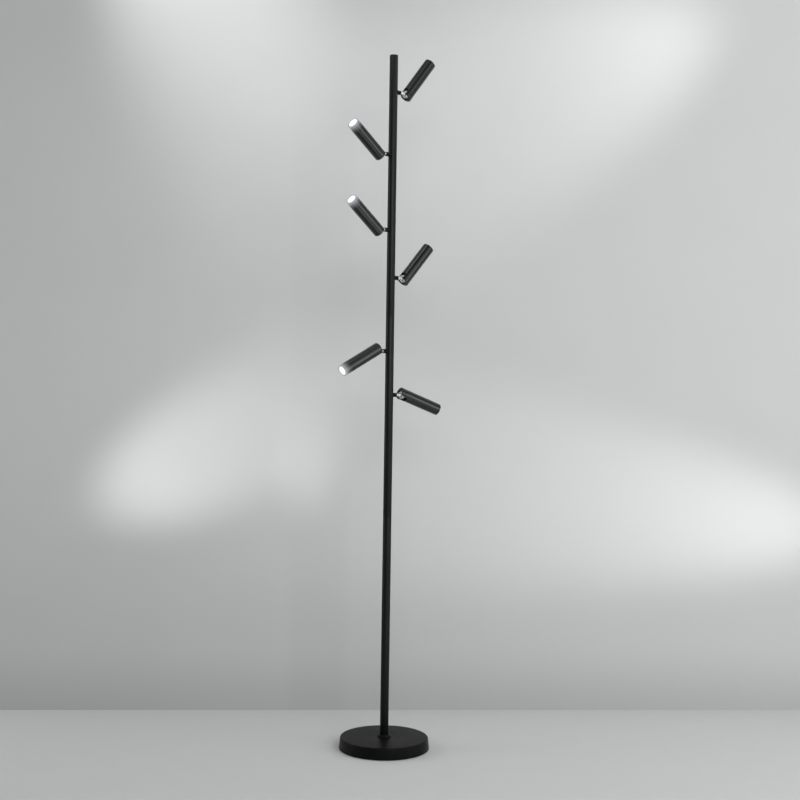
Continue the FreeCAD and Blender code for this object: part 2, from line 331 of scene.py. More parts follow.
    @classmethod
    def ease_edges(cls, piece: bpy.types.Object, width: float) -> None:
        """Breaks a piece's sharp edges.

        Args:
            piece: the object.
            width: the eased edge's width, in millimetres.
        """
        bevel = piece.modifiers.new("ease", "BEVEL")
        bevel.width = width * MM
        bevel.segments = cls.EASE_STEPS
        bevel.limit_method = "ANGLE"
        bevel.angle_limit = cls.EASED
        bevel.miter_outer = "MITER_ARC"
        cls.settle(piece)
        cls.shade(piece)
        even = piece.modifiers.new("even_shading", "WEIGHTED_NORMAL")
        even.keep_sharp = True
        cls.settle(piece)

    @staticmethod
    def settle(piece: bpy.types.Object) -> None:
        """Applies a piece's modifiers to its mesh."""
        graph = bpy.context.evaluated_depsgraph_get()
        graph.update()
        solid = bpy.data.meshes.new_from_object(piece.evaluated_get(graph))
        old = piece.data
        piece.modifiers.clear()
        piece.data = solid
        bpy.data.meshes.remove(old)

    @classmethod
    def mark_lit_end(cls, piece: bpy.types.Object, level: Callable[[Vector], float]) -> None:
        """Keeps a number at each point of a piece that its finish follows.

        Args:
            piece: the object.
            level: gives the number from the point's place, in millimetres.
        """
        kept = piece.data.attributes.new(cls.LIT_END, "FLOAT", "POINT")
        for vertex in piece.data.vertices:
            kept.data[vertex.index].value = level(vertex.co / MM)

    @staticmethod
    def seat(piece: bpy.types.Object, frame: Matrix) -> None:
        """Moves a piece's mesh to a frame, so that the object itself stays at the origin."""
        piece.data.transform(frame)
        piece.data.update()

    @classmethod
    def welded(cls, name: str, pieces: Sequence[bpy.types.Object]) -> bpy.types.Object:
        """Returns one object that holds the meshes of several."""
        mesh = bmesh.new()
        for piece in pieces:
            mesh.from_mesh(piece.data)
            bpy.data.objects.remove(piece)
        return cls.linked(name, mesh)


# ---- shader effects --------------------------------------------------------------
class EffectGroup:
    """A shader node group under construction."""

    def __init__(self, name: str) -> None:
        """Starts an empty group with the given name."""
        self.tree = bpy.data.node_groups.new(name, "ShaderNodeTree")
        self.source = self.tree.nodes.new("NodeGroupInput")
        self.sink = self.tree.nodes.new("NodeGroupOutput")

    def takes(self, name: str, kind: Socket, default: float | Sequence[float]) -> None:
        """Adds a named input with its default value."""
        made = self.tree.interface.new_socket(name=name, in_out="INPUT",
                                              socket_type=kind.value)
        made.default_value = default

    def gives(self, name: str, kind: Socket, source: bpy.types.NodeSocket) -> None:
        """Adds a named output and feeds it."""
        self.tree.interface.new_socket(name=name, in_out="OUTPUT", socket_type=kind.value)
        self.tree.links.new(source, self.sink.inputs[name])

    def given(self, name: str) -> bpy.types.NodeSocket:
        """Returns the group's input of that name."""
        return self.source.outputs[name]

    def node(self, kind: str, **settings: object) -> bpy.types.Node:
        """Adds a node and sets its properties."""
        return add_node(self.tree, kind, **settings)

    def feed(self, source: bpy.types.NodeSocket, target: bpy.types.NodeSocket) -> None:
        """Links one socket to another."""
        self.tree.links.new(source, target)

    def put(self, value: bpy.types.NodeSocket | float, target: bpy.types.NodeSocket) -> None:
        """Links a socket to another, or sets its number."""
        if isinstance(value, bpy.types.NodeSocket):
            self.feed(value, target)
        else:
            target.default_value = value

    def place(self) -> bpy.types.NodeSocket:
        """Returns the place on the piece, in metres, that patterns follow."""
        return self.node("ShaderNodeTexCoord").outputs["Object"]

    def noise(self, scale: bpy.types.NodeSocket | float, detail: float,
              roughness: float = 0.55) -> bpy.types.NodeSocket:
        """Adds a noise pattern.

        Args:
            scale: features per metre, as a number or a socket.
            detail: octaves of finer noise.
            roughness: weight of the finer octaves.

        Returns:
            The noise value's socket.
        """
        made = self.node("ShaderNodeTexNoise", noise_dimensions="3D")
        made.inputs["Detail"].default_value = detail
        made.inputs["Roughness"].default_value = roughness
        self.feed(self.place(), made.inputs["Vector"])
        self.put(scale, made.inputs["Scale"])
        return made.outputs["Fac"]

    def spread(self, value: bpy.types.NodeSocket, span: tuple[float, float],
               to_low: bpy.types.NodeSocket | float = 0.0,
               to_high: bpy.types.NodeSocket | float = 1.0) -> bpy.types.NodeSocket:
        """Maps a value from one range to another, and clamps it.

        Args:
            value: the value's socket.
            span: the range that it is mapped from.
            to_low: what the low end becomes.
            to_high: what the high end becomes.

        Returns:
            The mapped value's socket.
        """
        made = self.node("ShaderNodeMapRange", clamp=True)
        ends = zip(("Value", "From Min", "From Max", "To Min", "To Max"),
                   (value, *span, to_low, to_high))
        for name, end in ends:
            self.put(end, made.inputs[name])
        return made.outputs["Result"]

    def times(self, first: bpy.types.NodeSocket,
              second: bpy.types.NodeSocket | float) -> bpy.types.NodeSocket:
        """Returns the product of two values."""
        made = self.node("ShaderNodeMath", operation="MULTIPLY")
        self.feed(first, made.inputs[0])
        self.put(second, made.inputs[1])
        return made.outputs[0]

    def raised(self, height: bpy.types.NodeSocket,
               depth: bpy.types.NodeSocket) -> bpy.types.NodeSocket:
        """Returns the normal of a surface raised by a height times a depth in metres."""
        bump = self.node("ShaderNodeBump")
        bump.inputs["Distance"].default_value = 1.0
        self.feed(self.times(height, depth), bump.inputs["Height"])
        return bump.outputs["Normal"]


def add_node(tree: bpy.types.NodeTree, kind: str, **settings: object) -> bpy.types.Node:
    """Adds a node to a tree and sets its properties.

    Args:
        tree: the node tree.
        kind: the node's type.
        **settings: properties of the node.

    Returns:
        The new node.
    """
    made = tree.nodes.new(kind)
    for key, value in settings.items():
        setattr(made, key, value)
    return made


def eased_range(tree: bpy.types.NodeTree, value: bpy.types.NodeSocket,
                span: tuple[float, float], to: tuple[float, float]) -> bpy.types.NodeSocket:
    """Maps a value from one span to another, with soft ends.

    Args:
        tree: the node tree.
        value: the value's socket.
        span: the span that it is mapped from.
        to: the span that it is mapped to.

    Returns:
        The mapped value's socket.
    """
    made = add_node(tree, "ShaderNodeMapRange", clamp=True, interpolation_type="SMOOTHSTEP")
    for name, number in zip(("From Min", "From Max", "To Min", "To Max"), (*span, *to)):
        made.inputs[name].default_value = number
    tree.links.new(value, made.inputs["Value"])
    return made.outputs["Result"]


class Effects:
    """The shader effects that the lamp's finishes share, each built once."""

    MOTTLED = (0.3, 0.7)
    OUTER_EDGE = (0.53, 0.62)
    BROKEN = (0.46, 0.62)
    FACING_UP = (0.35, 1.0)
    SPECKS = (0.42, 0.75)

    def __init__(self) -> None:
        """Builds every effect."""
        self.grain = self._grain()
        self.mottle = self._mottle()
        self.wear = self._wear()
        self.dust = self._dust()
        self.turning = self._turning()
        self.glow = self._glow()

    @staticmethod
    def _grain() -> bpy.types.NodeTree:
        """Returns the fine grain of a sprayed or moulded surface, as a normal."""
        group = EffectGroup("fine_grain")
        group.takes("Scale", Socket.NUMBER, 1500.0)
        group.takes("Depth", Socket.NUMBER, 0.00002)
        height = group.noise(group.given("Scale"), 2.0)
        group.gives("Normal", Socket.VECTOR, group.raised(height, group.given("Depth")))
        return group.tree

    @classmethod
    def _mottle(cls) -> bpy.types.NodeTree:
        """Returns slow, uneven change over a surface, between two values."""
        group = EffectGroup("mottle")
        group.takes("Scale", Socket.NUMBER, 40.0)
        group.takes("Low", Socket.NUMBER, 0.0)
        group.takes("High", Socket.NUMBER, 1.0)
        value = group.noise(group.given("Scale"), 5.0, 0.6)
        group.gives("Value", Socket.NUMBER,
                    group.spread(value, cls.MOTTLED, group.given("Low"),
                                 group.given("High")))
        return group.tree

    @classmethod
    def _wear(cls) -> bpy.types.NodeTree:
        """Returns a mask of rubbed spots along outer edges."""
        group = EffectGroup("edge_wear")
        group.takes("Amount", Socket.NUMBER, 0.5)
        group.takes("Scale", Socket.NUMBER, 160.0)
        point = group.node("ShaderNodeNewGeometry").outputs["Pointiness"]
        edge = group.spread(point, cls.OUTER_EDGE)
        broken = group.spread(group.noise(group.given("Scale"), 4.0, 0.65), cls.BROKEN)
        group.gives("Mask", Socket.NUMBER,
                    group.times(group.times(edge, broken), group.given("Amount")))
        return group.tree

    @classmethod
    def _dust(cls) -> bpy.types.NodeTree:
        """Returns a mask of dust on surfaces that face up."""
        group = EffectGroup("dust_film")
        group.takes("Amount", Socket.NUMBER, 0.3)
        group.takes("Scale", Socket.NUMBER, 900.0)
        split = group.node("ShaderNodeSeparateXYZ")
        group.feed(group.node("ShaderNodeNewGeometry").outputs["Normal"], split.inputs[0])
        upward = group.spread(split.outputs["Z"], cls.FACING_UP)
        specks = group.spread(group.noise(group.given("Scale"), 3.0, 0.7), cls.SPECKS)
        group.gives("Mask", Socket.NUMBER,
                    group.times(group.times(upward, specks), group.given("Amount")))
        return group.tree

    @staticmethod
    def _turning() -> bpy.types.NodeTree:
        """Returns fine lathe rings across the X axis, along which the arms' shanks lie."""
        group = EffectGroup("turning_rings")
        group.takes("Pitch", Socket.NUMBER, 0.0004)
        group.takes("Depth", Socket.NUMBER, 0.000004)
        split = group.node("ShaderNodeSeparateXYZ")
        group.feed(group.place(), split.inputs[0])
        turns = group.node("ShaderNodeMath", operation="DIVIDE")
        group.feed(split.outputs["X"], turns.inputs[0])
        group.feed(group.given("Pitch"), turns.inputs[1])
        wave = group.node("ShaderNodeMath", operation="SINE")
        group.feed(group.times(turns.outputs[0], math.tau), wave.inputs[0])
        group.gives("Normal", Socket.VECTOR,
                    group.raised(wave.outputs[0], group.given("Depth")))
        return group.tree

    @staticmethod
    def _glow() -> bpy.types.NodeTree:
        """Returns a mask that falls off along a piece from its lit end.

        It follows the number that MeshShop.mark_lit_end keeps at each point, which is 1 at
        the lit end and 0 where the light has faded. On a tube it places a painted glow near the
        front end; across the lens it dims the lamp's light towards the rim and darkens the
        frosted colour there as painted shade.
        """
        group = EffectGroup("lit_end")
        group.takes("Fall", Socket.NUMBER, 2.4)
        near = group.node("ShaderNodeAttribute", attribute_name=MeshShop.LIT_END)
        falling = group.node("ShaderNodeMath", operation="POWER")
        group.feed(group.spread(near.outputs["Fac"], (0.0, 1.0)), falling.inputs[0])
        group.feed(group.given("Fall"), falling.inputs[1])
        group.gives("Mask", Socket.NUMBER, falling.outputs[0])
        return group.tree


class Paint:
    """One material under construction round its Principled shader.

    The Mix node has sockets for each kind of value; the colour ones are known by number.
    """

    UNDER = 6
    OVER = 7
    BLENDED = 2

    def __init__(self, name: str) -> None:
        """Starts a material with a bare Principled shader."""
        self.material = bpy.data.materials.new(name)
        self.material.use_nodes = True
        self.tree = self.material.node_tree
        self.tree.nodes.clear()
        self.shader = add_node(self.tree, "ShaderNodeBsdfPrincipled")
        self.output = add_node(self.tree, "ShaderNodeOutputMaterial")
        self.tree.links.new(self.shader.outputs[0], self.output.inputs["Surface"])

    def set(self, **values: float | Sequence[float]) -> Paint:
        """Sets the shader's own sockets; underscores in names stand for spaces."""
        for key, value in values.items():
            self.shader.inputs[key.replace("_", " ")].default_value = value
        return self

    def effect(self, tree: bpy.types.NodeTree, **values: float) -> bpy.types.Node:
        """Places an effect group with its own values."""
        made = add_node(self.tree, "ShaderNodeGroup", node_tree=tree)
        for key, value in values.items():
            made.inputs[key].default_value = value
        return made

    def feed(self, source: bpy.types.NodeSocket, target: str) -> Paint:
        """Links a socket to one of the shader's inputs."""
        self.tree.links.new(source, self.shader.inputs[target])
        return self

    def blend(self, mask: bpy.types.NodeSocket,
              under: bpy.types.NodeSocket | Sequence[float],
              over: Sequence[float]) -> bpy.types.NodeSocket:
        """Blends two colours by a mask.

        Args:
            mask: 0 shows under, 1 shows over.
            under: a colour or a colour socket.
            over: a colour.

        Returns:
            The blended colour's socket.
        """
        made = add_node(self.tree, "ShaderNodeMix", data_type="RGBA")
        self.tree.links.new(mask, made.inputs["Factor"])
        if isinstance(under, bpy.types.NodeSocket):
            self.tree.links.new(under, made.inputs[self.UNDER])
        else:
            made.inputs[self.UNDER].default_value = (*under, 1.0)
        made.inputs[self.OVER].default_value = (*over, 1.0)
        return made.outputs[self.BLENDED]


@dataclass(frozen=True)
class Coating:
    """An opaque finish with grain, uneven gloss, rubbed edges and dust.

    Attributes:
        dark: darker of its two colours, linear.
        light: lighter of its two colours, linear.
        gloss: lowest and highest roughness.
        metal: how metallic it is.
        specular: specular level.
        patch: size of its uneven spots, per metre.
        grain: grain per metre.
        grain_depth: grain depth, in metres.
        wear: how much its edges are rubbed.
        rubbed: colour of rubbed edges.
        dust: how much dust lies on it.
        rings: depth of lathe rings, in metres; 0 leaves them out.
    """

    DUST_COLOUR = (0.22, 0.215, 0.205)
    SHEEN_PATCH = 2.3

    dark: tuple[float, float, float]
    light: tuple[float, float, float]
    gloss: tuple[float, float]
    metal: float = 0.0
    specular: float = 0.5
    patch: float = 40.0
    grain: float = 1500.0
    grain_depth: float = 0.00001
    wear: float = 0.0
    rubbed: tuple[float, float, float] = (0.1, 0.1, 0.1)
    dust: float = 0.0
    rings: float = 0.0

    def paint(self, name: str, effects: Effects) -> Paint:
        """Builds the finish as a material.

        Args:
            name: the material's name.
            effects: the shared shader effects.

        Returns:
            The paint, whose shader may be fed further.
        """
        made = Paint(name).set(Metallic=self.metal, Specular_IOR_Level=self.specular)
        spots = made.effect(effects.mottle, Scale=self.patch)
        colour = made.blend(spots.outputs["Value"], self.dark, self.light)
        if self.wear > 0:
            edges = made.effect(effects.wear, Amount=self.wear)
            colour = made.blend(edges.outputs["Mask"], colour, self.rubbed)
        if self.dust > 0:
            film = made.effect(effects.dust, Amount=self.dust)
            colour = made.blend(film.outputs["Mask"], colour, self.DUST_COLOUR)
        made.feed(colour, "Base Color")
        sheen = made.effect(effects.mottle, Scale=self.patch * self.SHEEN_PATCH,
                            Low=self.gloss[0], High=self.gloss[1])
        made.feed(sheen.outputs["Value"], "Roughness")
        if self.rings > 0:
            lathe = made.effect(effects.turning, Depth=self.rings)
            made.feed(lathe.outputs["Normal"], "Normal")
        else:
            skin = made.effect(effects.grain, Scale=self.grain, Depth=self.grain_depth)
            made.feed(skin.outputs["Normal"], "Normal")
        return made


SATIN_BLACK = Coating((0.0018, 0.0018, 0.0019), (0.0028, 0.0028, 0.0029), (0.38, 0.45),
                      specular=0.1, patch=30.0, grain=1800.0, grain_depth=0.000008,
                      wear=0.2, rubbed=(0.012, 0.012, 0.012), dust=0.012)

COATINGS: dict[Finish, Coating] = {
    Finish.POWDER_COAT: SATIN_BLACK,
    Finish.POLE_COAT: replace(SATIN_BLACK, gloss=(0.36, 0.43), specular=0.17),
    Finish.ANODISED: Coating((0.0022, 0.0022, 0.0024), (0.0034, 0.0034, 0.0036),
                             (0.22, 0.28), specular=0.45, patch=60.0, grain=3000.0,
                             grain_depth=0.000004, wear=0.2, rubbed=(0.05, 0.05, 0.05),
                             dust=0.008),
    Finish.NICKEL: Coating((0.5, 0.5, 0.49), (0.58, 0.575, 0.56), (0.24, 0.3), metal=1.0,
                           patch=90.0, rings=0.0000006),
    Finish.ZINC: Coating((0.45, 0.46, 0.48), (0.62, 0.62, 0.6), (0.3, 0.45), metal=1.0,
                         patch=120.0, grain=900.0, grain_depth=0.00001),
    Finish.IRON: Coating((0.05, 0.05, 0.053), (0.09, 0.088, 0.086), (0.55, 0.75),
                         metal=0.4, patch=50.0, grain=420.0, grain_depth=0.00012,
                         wear=0.6, rubbed=(0.16, 0.12, 0.1)),
    Finish.PAD: Coating((0.014, 0.014, 0.014), (0.024, 0.024, 0.025), (0.8, 0.92),
                        patch=70.0, grain=1100.0, grain_depth=0.00005, dust=0.1),
    Finish.GLAND: Coating((0.011, 0.011, 0.012), (0.019, 0.019, 0.02), (0.55, 0.68),
                          patch=150.0, grain=2200.0, grain_depth=0.00001, dust=0.1),
    Finish.SHEATH: Coating((0.045, 0.045, 0.047), (0.07, 0.07, 0.072), (0.5, 0.62),
                           patch=80.0, grain=2400.0, grain_depth=0.00001),
    Finish.CASE: Coating((0.72, 0.72, 0.7), (0.8, 0.8, 0.78), (0.45, 0.55), patch=60.0,
                         grain=1400.0, grain_depth=0.00002),
    Finish.SINK: Coating((0.58, 0.58, 0.59), (0.7, 0.7, 0.71), (0.32, 0.42), metal=1.0,
                         patch=100.0, rings=0.000002),
    Finish.BOARD: Coating((0.8, 0.8, 0.78), (0.88, 0.88, 0.86), (0.35, 0.45), patch=140.0,
                          grain=1800.0, grain_depth=0.000008),
}


@dataclass(frozen=True)
class LitLens:
    """The frosted, lit lens.

    Attributes:
        tint: colour of the frosted front.
        light: colour of the light.
        rim: colour at the lens's edge, of its light and, as painted shade, of its front.
        strength: how bright it is.
        shade: what its darker spots keep of its colour.
        fall: how late the light falls off towards the lens's edge.
    """

    tint: tuple[float, float, float] = (0.55, 0.56, 0.57)
    light: tuple[float, float, float] = (0.97, 0.985, 1.0)
    rim: tuple[float, float, float] = (0.05, 0.052, 0.055)
    strength: float = 1.2
    shade: float = 0.93
    fall: float = 3.0

    def paint(self, name: str, effects: Effects) -> Paint:
        """Builds the lens as a material, bright in the middle and dimmer at its rim.

        Args:
            name: the material's name.
            effects: the shared shader effects.

        Returns:
            The paint.
        """
        made = Paint(name).set(Emission_Strength=self.strength, Specular_IOR_Level=0.5)
        spots = made.effect(effects.mottle, Scale=220.0)
        edge = made.effect(effects.glow, Fall=self.fall)
        # The light dims towards the rim, and the frosted colour is darkened with it as painted
        # shade.
        for colour, target in ((self.light, "Emission Color"), (self.tint, "Base Color")):
            even = made.blend(spots.outputs["Value"], colour,
                              tuple(self.shade * part for part in colour))
            made.feed(made.blend(edge.outputs["Mask"], even, self.rim), target)
        frost = made.effect(effects.mottle, Scale=500.0, Low=0.42, High=0.56)
        made.feed(frost.outputs["Value"], "Roughness")
        skin = made.effect(effects.grain, Scale=4200.0, Depth=0.00002)
        made.feed(skin.outputs["Normal"], "Normal")
        return made


class FinishRoom:
    """Gives pieces their finishes."""

    # Colour and strength of the painted glow that the tube's finish gets near its front end.
    PAINTED_GLOW_COLOUR = (0.9, 0.95, 1.0)
    PAINTED_GLOW_STRENGTH = 0.4
    UNLIT = (0.0, 0.0, 0.0)

    def __init__(self) -> None:
        """Builds the effects and every finish, with a painted glow on the tube near its front
        end.
        """
        effects = Effects()
        self.paints = {finish: coating.paint(finish.value, effects)
                       for finish, coating in COATINGS.items()}
        self.paints[Finish.LENS] = LitLens().paint(Finish.LENS.value, effects)
        # Painted glow: the tube, though no lamp, emits light that brightens it towards its front
        # end.
        tube = self.paints[Finish.ANODISED]
        painted_glow = tube.effect(effects.glow)
        lit = tube.blend(painted_glow.outputs["Mask"], self.UNLIT, self.PAINTED_GLOW_COLOUR)
        tube.feed(lit, "Emission Color").set(Emission_Strength=self.PAINTED_GLOW_STRENGTH)

    def dress(self, piece: bpy.types.Object, finish: Finish) -> None:
        """Puts a finish on a new piece."""
        piece.data.materials.clear()
        piece.data.materials.append(self.paints[finish].material)

    def redress(self, node: bpy.types.Object, finish: Finish) -> None:
        """Puts a finish on a node that is carried over from the frame."""
        for place in node.material_slots:
            place.material = self.paints[finish].material
        if not node.material_slots:
            node.data.materials.append(self.paints[finish].material)


# ---- the lamp --------------------------------------------------------------------
@dataclass
class Base:
    """The round weighted base with its gland. Sizes are in millimetres.

    A cutter runs past the faces that it cuts by the size named past.
    """

    foot_radius: float = 117.0
    top_radius: float = 114.0
    top: float = 30.5
    lip: float = 1.5
    wall: float = 1.5
    edge_ease: float = 3.0
    hole_radius: float = 7.25
    collar_radius: float = 18.0
    collar_top_radius: float = 13.0
    collar_height: float = 6.0
    collar_rim: float = 1.6
    shank_radius: float = 7.0
    shank_low: float = 13.0
    thread_lead: float = 0.6
    thread_pitch: float = 1.5
    thread_depth: float = 0.7
    thread_turns: int = 9
    foot_bore: float = 4.5
    plug_radius: float = 9.45
    plug_height: float = 40.0
    gland_height: float = 14.0
    gland_bore: float = 3.5
    gland_neck: float = 5.4
    gland_flange: float = 7.5
    gland_inner: float = 112.2
    gland_wall: float = 115.0
    gland_end: float = 117.5
    gland_fit: float = 0.05
    past: float = 6.0

    def build(self, room: FinishRoom) -> list[bpy.types.Object]:
        """Makes and dresses the base's pieces, and returns them."""
        pieces = [self._cover(room), self._foot(room), self._gland(room)]
        for piece in pieces:
            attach(piece, "stand")
        return pieces

    def _cover(self, room: FinishRoom) -> bpy.types.Object:
        """Makes the spun cover, with its rounded top edge and its hole for the gland."""
        wall, top = self.wall, self.top
        slope = (self.foot_radius - self.top_radius) / (top - self.lip)
        under = top - wall
        inner_top = self.top_radius + slope * wall - wall
        profile = Profile([
            Corner(self.hole_radius, top, 0.3),
            Corner(self.top_radius, top, self.edge_ease),
            Corner(self.foot_radius, self.lip, 0.6),
            Corner(self.foot_radius - wall, self.lip, 0.3),
            Corner(inner_top, under, self.edge_ease - wall),
            Corner(self.hole_radius, under),
        ], steps=8)
        cover = MeshShop.turned("cover", profile, 256)
        hole = MeshShop.rod("gland_hole", self.gland_neck + self.gland_fit,
                            (self.top_radius - self.past, self.foot_radius + self.past),
                            Axis.Y, (0, 0, self.gland_height))
        MeshShop.combine(cover, [hole], "DIFFERENCE")
        room.dress(cover, Finish.POWDER_COAT)
        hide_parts("base_cover")
        return cover

    def _foot(self, room: FinishRoom) -> bpy.types.Object:
        """Makes the turned foot fitting with its collar, thread and plug."""
        low, collar_top = self.shank_low, self.top + self.collar_height
        root = self.shank_radius - self.thread_depth
        start, pitch, turns = low + self.thread_lead, self.thread_pitch, self.thread_turns
        thread = []
        for turn in range(turns):
            thread += [Corner(self.shank_radius, start + pitch * turn),
                       Corner(root, start + pitch * (turn + 0.5))]
        profile = Profile([
            Corner(self.foot_bore, low),
            Corner(root, low),
            *thread,
            Corner(self.shank_radius, start + pitch * turns),
            Corner(self.shank_radius, self.top),
            Corner(self.collar_radius, self.top),
            Corner(self.collar_radius, self.top + self.collar_rim, 0.5),
            Corner(self.collar_top_radius, collar_top, 0.8),
            Corner(self.plug_radius, collar_top),
            Corner(self.plug_radius, collar_top + self.plug_height, 0.8),
            Corner(self.foot_bore, collar_top + self.plug_height),
        ], steps=6)
        foot = MeshShop.turned("pole_collar", profile, 128)
        room.dress(foot, Finish.POWDER_COAT)
        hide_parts("pole_foot")
        return foot

    def _gland(self, room: FinishRoom) -> bpy.types.Object:
        """Makes the rubber gland with its rounded flange."""
        profile = Profile([
            Corner(self.gland_bore, self.gland_inner, 0.3),
            Corner(self.gland_neck, self.gland_inner, 0.4),
            Corner(self.gland_neck, self.gland_wall - 0.6),
            Corner(self.gland_flange, self.gland_wall - 0.3),
            Corner(self.gland_flange, self.gland_end, 1.0),
            Corner(self.gland_neck, self.gland_end, 0.4),
            Corner(self.gland_neck - 0.6, self.gland_end - 0.5, 0.2),
            Corner(self.gland_bore + 0.4, self.gland_end - 0.5, 0.3),
            Corner(self.gland_bore, self.gland_end - 0.8),
        ], steps=4)
        gland = MeshShop.turned("cord_gland", profile, 64, Axis.Y, (0, 0, self.gland_height))
        room.dress(gland, Finish.GLAND)
        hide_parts("cord_grommet")
        return gland


@dataclass
class Pole:
    """The pole's tubes, its cap and its six stubs. Sizes are in millimetres."""

    radius: float = 11.0
    wall: float = 1.5
    seams: tuple[float, ...] = (36.5, 600.0, 1123.0, 1800.0)
    seam_ease: float = 0.35
    cap_depth: float = 8.0
    cap_fit: float = 0.05
    stub_radius: float = 5.5
    stub_inner: float = 5.1
    stub_reach: float = 23.0
    stub_bore: float = 2.55
    nodes: tuple[str, ...] = ("pole_lower", "pole_middle", "pole_upper")

    def build(self, room: FinishRoom, stubs: Sequence[tuple[int, float]]
              ) -> list[bpy.types.Object]:
        """Makes and dresses the pole's pieces.

        Args:
            room: where the finishes come from.
            stubs: side (1 or -1) and height in millimetres of each stub.

        Returns:
            The new pieces.
        """
        pieces = [self._tube(room, index) for index in range(len(self.nodes))]
        pieces += [self._cap(room), self._stubs(room, stubs)]
        for piece in pieces:
            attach(piece, "stand")
        return pieces

    def _tube(self, room: FinishRoom, index: int) -> bpy.types.Object:
        """Makes one tube of the pole, with eased ends."""
        low, high = self.seams[index], self.seams[index + 1]
        inner = self.radius - self.wall
        profile = Profile([
            Corner(inner, low), Corner(self.radius, low, self.seam_ease),
            Corner(self.radius, high, self.seam_ease), Corner(inner, high, 0.2),
        ], steps=4)
        tube = MeshShop.turned(self.nodes[index].replace("pole", "pole_tube"), profile, 96)
        room.dress(tube, Finish.POLE_COAT)
        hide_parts(self.nodes[index])
        return tube

    def _cap(self, room: FinishRoom) -> bpy.types.Object:
        """Makes the plug in the pole's top, with a shallow dish."""
        top, radius = self.seams[-1], self.radius - self.wall - self.cap_fit
        profile = Profile([
            Corner(0, top - self.cap_depth), Corner(radius, top - self.cap_depth, 0.4),
            Corner(radius, top - 0.1, 0.4), Corner(radius - 2.0, top - 0.1, 0.3),
            Corner(radius - 2.6, top - 0.5, 0.3), Corner(0, top - 0.5),
        ], steps=4)
        cap = MeshShop.turned("pole_plug", profile, 96)
        room.dress(cap, Finish.POLE_COAT)
        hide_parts("pole_cap")
        return cap

    def _stubs(self, room: FinishRoom, places: Sequence[tuple[int, float]]
               ) -> bpy.types.Object:
        """Makes the brazed stubs, each with its fillet against the pole."""
        profile = Profile([
            Corner(self.stub_bore, self.stub_inner),
            Corner(self.stub_radius, self.stub_inner),
            Corner(self.stub_radius, self.radius - 2.0),
            Corner(self.stub_radius + 1.1, self.radius - 1.2),
            Corner(self.stub_radius + 0.9, self.radius - 0.3, 0.4),
            Corner(self.stub_radius, self.radius + 1.3, 1.0),
            Corner(self.stub_radius, self.stub_reach, 0.5),
            Corner(self.stub_bore, self.stub_reach, 0.2),
        ], steps=5)
        made = []
        for number, (side, height) in enumerate(places, 1):
            stub = MeshShop.turned(f"stub_{number}", profile, 64, Axis.X)
            facing = Matrix.Rotation(0 if side > 0 else math.pi, 4, "Z")
            MeshShop.seat(stub, Matrix.Translation((0, 0, height * MM)) @ facing)
            made.append(stub)
        stubs = MeshShop.welded("pole_stubs", made)
        room.dress(stubs, Finish.POWDER_COAT)
        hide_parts("stems")
        return stubs


